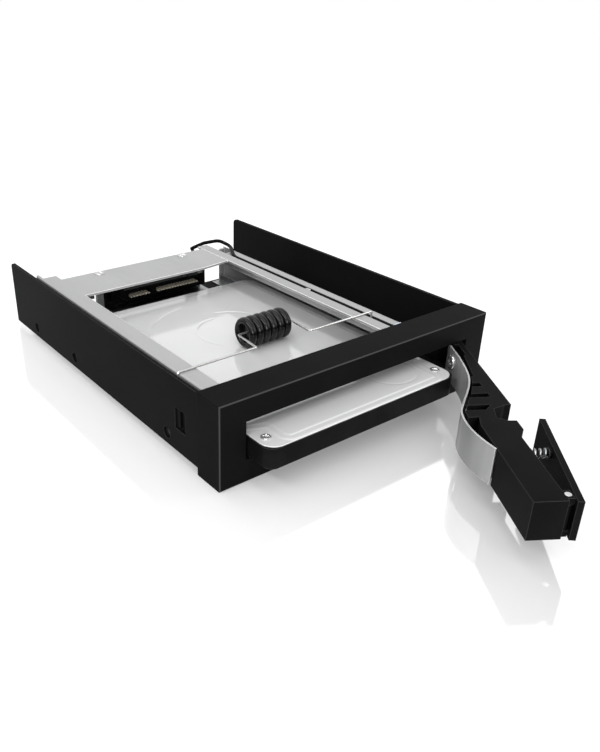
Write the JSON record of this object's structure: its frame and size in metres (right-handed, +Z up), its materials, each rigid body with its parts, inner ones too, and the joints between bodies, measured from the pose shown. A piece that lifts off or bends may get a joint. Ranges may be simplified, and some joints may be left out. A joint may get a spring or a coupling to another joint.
{
  "type": "hot swap drive caddy",
  "caption": "Trayless hot swap rack for a small disk drive: slotted black front with an open hinged door, sheet steel cage, rubber presser roller and rear board.",
  "frame": {"origin": "middle of the front bezel's bottom face", "axes": "+Y to the rear along the rack's depth, +Z up, +X to the right seen from the front"},
  "size_m": [0.1016, 0.1999, 0.0254],
  "materials": {
    "black_plastic": "satin",
    "black_steel": "satin",
    "bare_steel": "satin",
    "zinc_steel": "satin",
    "spring_steel": "polished",
    "screw_steel": "polished",
    "drive_aluminium": "satin",
    "drive_casting": "satin",
    "board": "gloss",
    "connector_black": "matt",
    "contact_gold": "polished",
    "roller_rubber": "satin",
    "lead_sleeve": "satin",
    "lamp_clear": "gloss"
  },
  "bodies": {
    "chassis": {"bezel": "black_plastic", "chassis_shell": "black_steel", "drive_cage": "bare_steel", "guide_rail_left": "zinc_steel", "guide_rail_right": "zinc_steel", "cage_screw_front_left": "screw_steel", "cage_screw_front_right": "screw_steel", "cage_screw_rear_left": "screw_steel", "cage_screw_rear_right": "screw_steel", "bridge_bracket": "zinc_steel", "bridge_screw_left": "screw_steel", "bridge_screw_right": "screw_steel", "backplane_bracket": "zinc_steel", "backplane_pcb": "board", "pcb_screw_left": "screw_steel", "pcb_screw_right": "screw_steel", "sata_receptacle": "connector_black", "receptacle_contacts": "contact_gold", "data_socket": "connector_black", "power_socket": "connector_black", "status_lamp": "lamp_clear", "status_lead": "lead_sleeve", "presser_wire": "spring_steel", "hinge_pin": "screw_steel"},
    "door": {"door_arm": "black_plastic", "leaf_spring": "spring_steel", "leaf_screw": "screw_steel", "latch_pin": "screw_steel", "latch_spring": "spring_steel"},
    "latch": {"latch_plate": "black_steel"},
    "drive": {"drive_base": "drive_casting", "drive_cover": "drive_aluminium", "drive_board": "board", "drive_connector": "connector_black", "drive_screw_front_left": "screw_steel", "drive_screw_front_right": "screw_steel"},
    "roller": {"presser_roller": "roller_rubber"}
  },
  "joints": [
    {"name": "door_hinge", "type": "hinge", "parent": "chassis", "child": "door", "pos_m": [0.0396, -0.0038, 0.0125], "axis": [0, 0, 1], "range_deg": [-57.6, 32.4]},
    {"name": "drive_slide", "type": "slide", "parent": "chassis", "child": "drive", "axis": [0, 1, 0], "range_m": [-0.0135, 0.024]},
    {"name": "latch_hinge", "type": "hinge", "parent": "door", "child": "latch", "pos_m": [-0.00425, -0.06954, 0.0125], "axis": [0, 0, 1], "range_deg": [0, 10.5], "stiffness_Nm_per_rad": 0.05, "deforming": ["latch_spring"]},
    {"name": "roller_spin", "type": "hinge", "parent": "chassis", "child": "roller", "pos_m": [-0.00435, 0.0369, 0.01908], "axis": [1, 0, 0], "continuous": true}
  ],
  "couplings": [
    {"joint": "drive_slide", "follows": "door_hinge", "m_per_rad": -0.023774}
  ]
}
